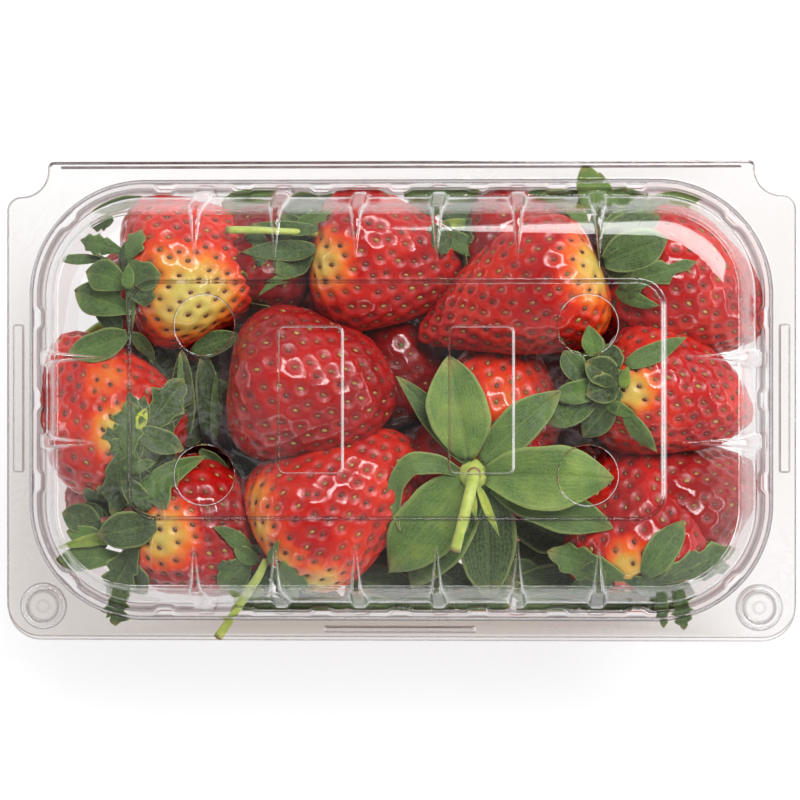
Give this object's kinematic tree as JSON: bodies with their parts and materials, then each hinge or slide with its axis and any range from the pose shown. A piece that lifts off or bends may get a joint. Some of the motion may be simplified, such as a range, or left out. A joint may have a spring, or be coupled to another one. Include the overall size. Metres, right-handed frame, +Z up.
{
  "type": "punnet of strawberries",
  "caption": "Clear hinged fruit punnet with a domed, ribbed lid, vent holes and corner snap buttons, packed full of fresh strawberries.",
  "frame": {"origin": "middle of the footprint of the whole pack, on the surface it stands on", "axes": "+Z up, +X along the pack's length, +Y towards the lid's fold, -Y the front with the snap buttons"},
  "size_m": [0.19, 0.116, 0.0828],
  "materials": {
    "tray_clear": "clear thermoformed sheet, glossy",
    "lid_clear": "clear thermoformed sheet, glossy, lightly fogged inside",
    "fruit": "fresh strawberry skin, wet gloss between the seeds"
  },
  "bodies": {
    "base": {"tray": "tray_clear", "berries": "fruit"},
    "cover": {"lid": "lid_clear"}
  },
  "joints": [
    {"name": "lid_hinge", "type": "hinge", "parent": "base", "child": "cover", "pos_m": [0, 0.0587, 0.0553], "axis": [-1, 0, 0], "range_deg": [0, 180]}
  ]
}
